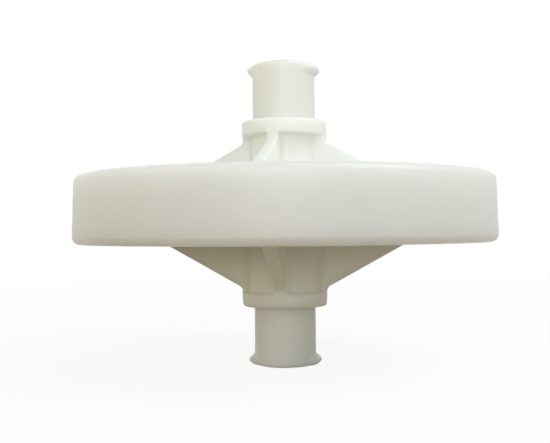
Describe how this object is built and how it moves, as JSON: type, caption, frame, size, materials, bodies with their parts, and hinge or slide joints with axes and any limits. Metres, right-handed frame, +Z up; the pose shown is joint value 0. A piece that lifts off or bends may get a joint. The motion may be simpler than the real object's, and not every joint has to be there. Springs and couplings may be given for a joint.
{
  "type": "syringe filter",
  "caption": "In-line disc filter with a gusseted hub and a female Luer-lock connector on each face, a clamped membrane and a moulded edge band.",
  "frame": {"origin": "centre of the outlet connector's end face, which the filter stands on", "axes": "+Z up the flow axis from the outlet to the inlet; +X through one of the inlet connector's lugs"},
  "size_m": [0.0448, 0.0448, 0.0323],
  "materials": {
    "housing_plastic": "natural moulded polypropylene, slightly translucent, satin",
    "band_plastic": "natural moulded polypropylene, slightly translucent, smooth satin",
    "membrane": "matte white microporous sheet"
  },
  "bodies": {
    "root": {"inlet_housing": "housing_plastic", "outlet_housing": "housing_plastic", "membrane": "membrane", "sealing_band": "band_plastic"}
  },
  "joints": []
}
